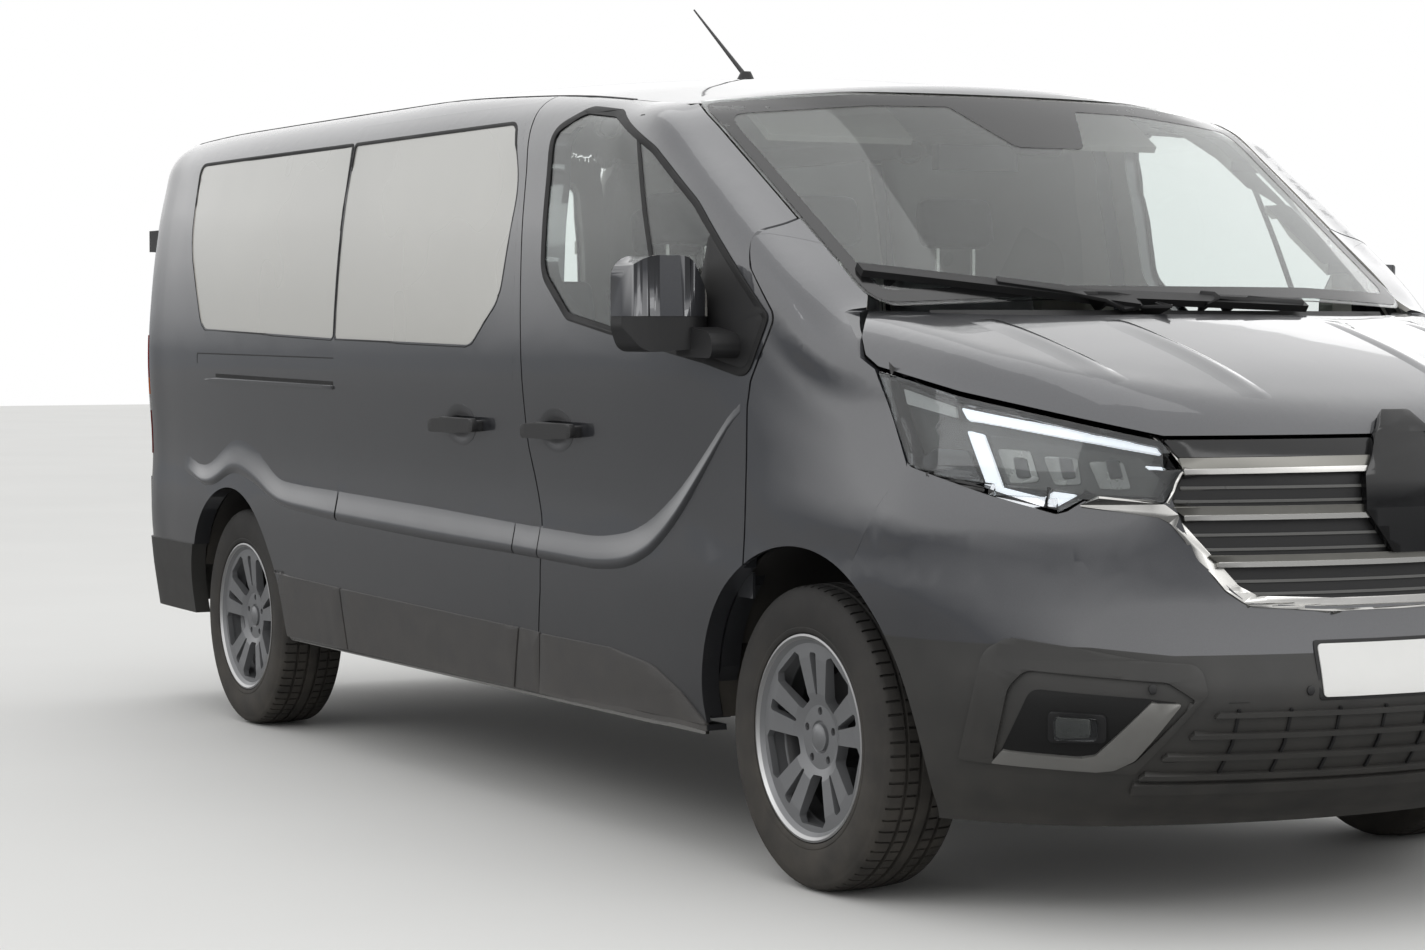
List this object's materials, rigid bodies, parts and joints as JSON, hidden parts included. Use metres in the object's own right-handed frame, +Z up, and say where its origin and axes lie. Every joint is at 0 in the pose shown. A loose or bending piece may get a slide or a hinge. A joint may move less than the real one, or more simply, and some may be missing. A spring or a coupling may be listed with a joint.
{
  "type": "panel van",
  "caption": "Glazed long-wheelbase van with sliding side door, twin rear doors, opening bonnet and cab doors, steered front wheels and seats.",
  "frame": {"origin": "on the ground, half way along the body, on the centre line", "axes": "+X towards the front, +Y to the vehicle's left, +Z up"},
  "size_m": [5.4773, 2.28, 2.2],
  "materials": {
    "body_paint": "metallic gloss",
    "trim_plastic": "satin",
    "black_plastic": "satin",
    "clear_glass": "clear",
    "pale_pane": "satin, blanked from inside",
    "lamp_lens": "clear over a dark reflector",
    "lamp_red": "clear red",
    "wheel_alloy": "satin paint",
    "tyre": "dry",
    "underbody": "matt",
    "cast_metal": "raw",
    "seat_fabric": "woven",
    "interior_plastic": "grained"
  },
  "bodies": {
    "van_body": {"body_side_left": "body_paint", "body_side_right": "body_paint", "sliding_door": "body_paint", "side_glass": "pale_pane", "front_fenders": "body_paint", "roof_panel": "body_paint", "windscreen": "clear_glass", "scuttle_panel": "black_plastic", "front_bumper": "body_paint", "bumper_insert": "trim_plastic", "headlamps": "lamp_lens", "grille": "black_plastic", "rear_bumper": "trim_plastic", "rear_door_hinges": "black_plastic", "tail_lamps": "lamp_red", "floor_pan": "underbody", "toe_board": "underbody", "wheel_housings": "underbody", "front_subframe": "underbody", "engine_block": "cast_metal", "rear_axle": "underbody", "front_seats": "seat_fabric", "rear_bench": "seat_fabric", "dashboard": "interior_plastic", "wipers": "black_plastic", "aerial": "black_plastic"},
    "cab_door_left": {"cab_door_left": "body_paint", "cab_door_glass_left": "clear_glass", "mirror_left": "body_paint"},
    "cab_door_right": {"cab_door_right": "body_paint", "cab_door_glass_right": "clear_glass", "mirror_right": "body_paint"},
    "rear_door_left": {"rear_door_left": "body_paint", "rear_glass_left": "clear_glass"},
    "rear_door_right": {"rear_door_right": "body_paint", "rear_glass_right": "clear_glass"},
    "bonnet": {"bonnet": "body_paint"},
    "knuckle_left": {"knuckle_left": "cast_metal"},
    "knuckle_right": {"knuckle_right": "cast_metal"},
    "steering_wheel": {"steering_wheel": "interior_plastic"},
    "wheel_front_left": {"wheel_front_left": "wheel_alloy", "tyre_front_left": "tyre"},
    "wheel_front_right": {"wheel_front_right": "wheel_alloy", "tyre_front_right": "tyre"},
    "wheel_rear_left": {"wheel_rear_left": "wheel_alloy", "tyre_rear_left": "tyre"},
    "wheel_rear_right": {"wheel_rear_right": "wheel_alloy", "tyre_rear_right": "tyre"}
  },
  "joints": [
    {"name": "cab_door_left_hinge", "type": "hinge", "parent": "van_body", "child": "cab_door_left", "pos_m": [1.605, 0.95, 0.9], "axis": [0, 0, -1], "range_deg": [0, 68]},
    {"name": "cab_door_right_hinge", "type": "hinge", "parent": "van_body", "child": "cab_door_right", "pos_m": [1.605, -0.95, 0.9], "axis": [0, 0, 1], "range_deg": [0, 68]},
    {"name": "rear_door_left_hinge", "type": "hinge", "parent": "van_body", "child": "rear_door_left", "pos_m": [-2.715, 0.868, 1.2], "axis": [0, 0, -1], "range_deg": [0, 180]},
    {"name": "rear_door_right_hinge", "type": "hinge", "parent": "van_body", "child": "rear_door_right", "pos_m": [-2.715, -0.868, 1.2], "axis": [0, 0, 1], "range_deg": [0, 180]},
    {"name": "bonnet_hinge", "type": "hinge", "parent": "van_body", "child": "bonnet", "pos_m": [1.72, 0, 1.48], "axis": [0, -1, 0], "range_deg": [0, 50]},
    {"name": "steer_right", "type": "hinge", "parent": "van_body", "child": "knuckle_right", "pos_m": [1.726, -0.66, 0.345], "axis": [0, 0, 1], "range_deg": [-32, 32]},
    {"name": "steer_left", "type": "hinge", "parent": "van_body", "child": "knuckle_left", "pos_m": [1.726, 0.66, 0.345], "axis": [0, 0, 1], "range_deg": [-32, 32]},
    {"name": "steering_wheel_turn", "type": "hinge", "parent": "van_body", "child": "steering_wheel", "pos_m": [1.01, 0.43, 1.14], "axis": [-0.766, 0, 0.6428], "range_deg": [-480, 480]},
    {"name": "wheel_front_left_spin", "type": "hinge", "parent": "knuckle_left", "child": "wheel_front_left", "pos_m": [1.726, 0.8075, 0.345], "axis": [0, 1, 0], "continuous": true},
    {"name": "wheel_front_right_spin", "type": "hinge", "parent": "knuckle_right", "child": "wheel_front_right", "pos_m": [1.726, -0.8075, 0.345], "axis": [0, 1, 0], "continuous": true},
    {"name": "wheel_rear_left_spin", "type": "hinge", "parent": "van_body", "child": "wheel_rear_left", "pos_m": [-1.772, 0.814, 0.345], "axis": [0, 1, 0], "continuous": true},
    {"name": "wheel_rear_right_spin", "type": "hinge", "parent": "van_body", "child": "wheel_rear_right", "pos_m": [-1.772, -0.814, 0.345], "axis": [0, 1, 0], "continuous": true}
  ],
  "couplings": [
    {"joint": "steer_left", "follows": "steer_right", "ratio": 1},
    {"joint": "steering_wheel_turn", "follows": "steer_right", "ratio": 15}
  ]
}
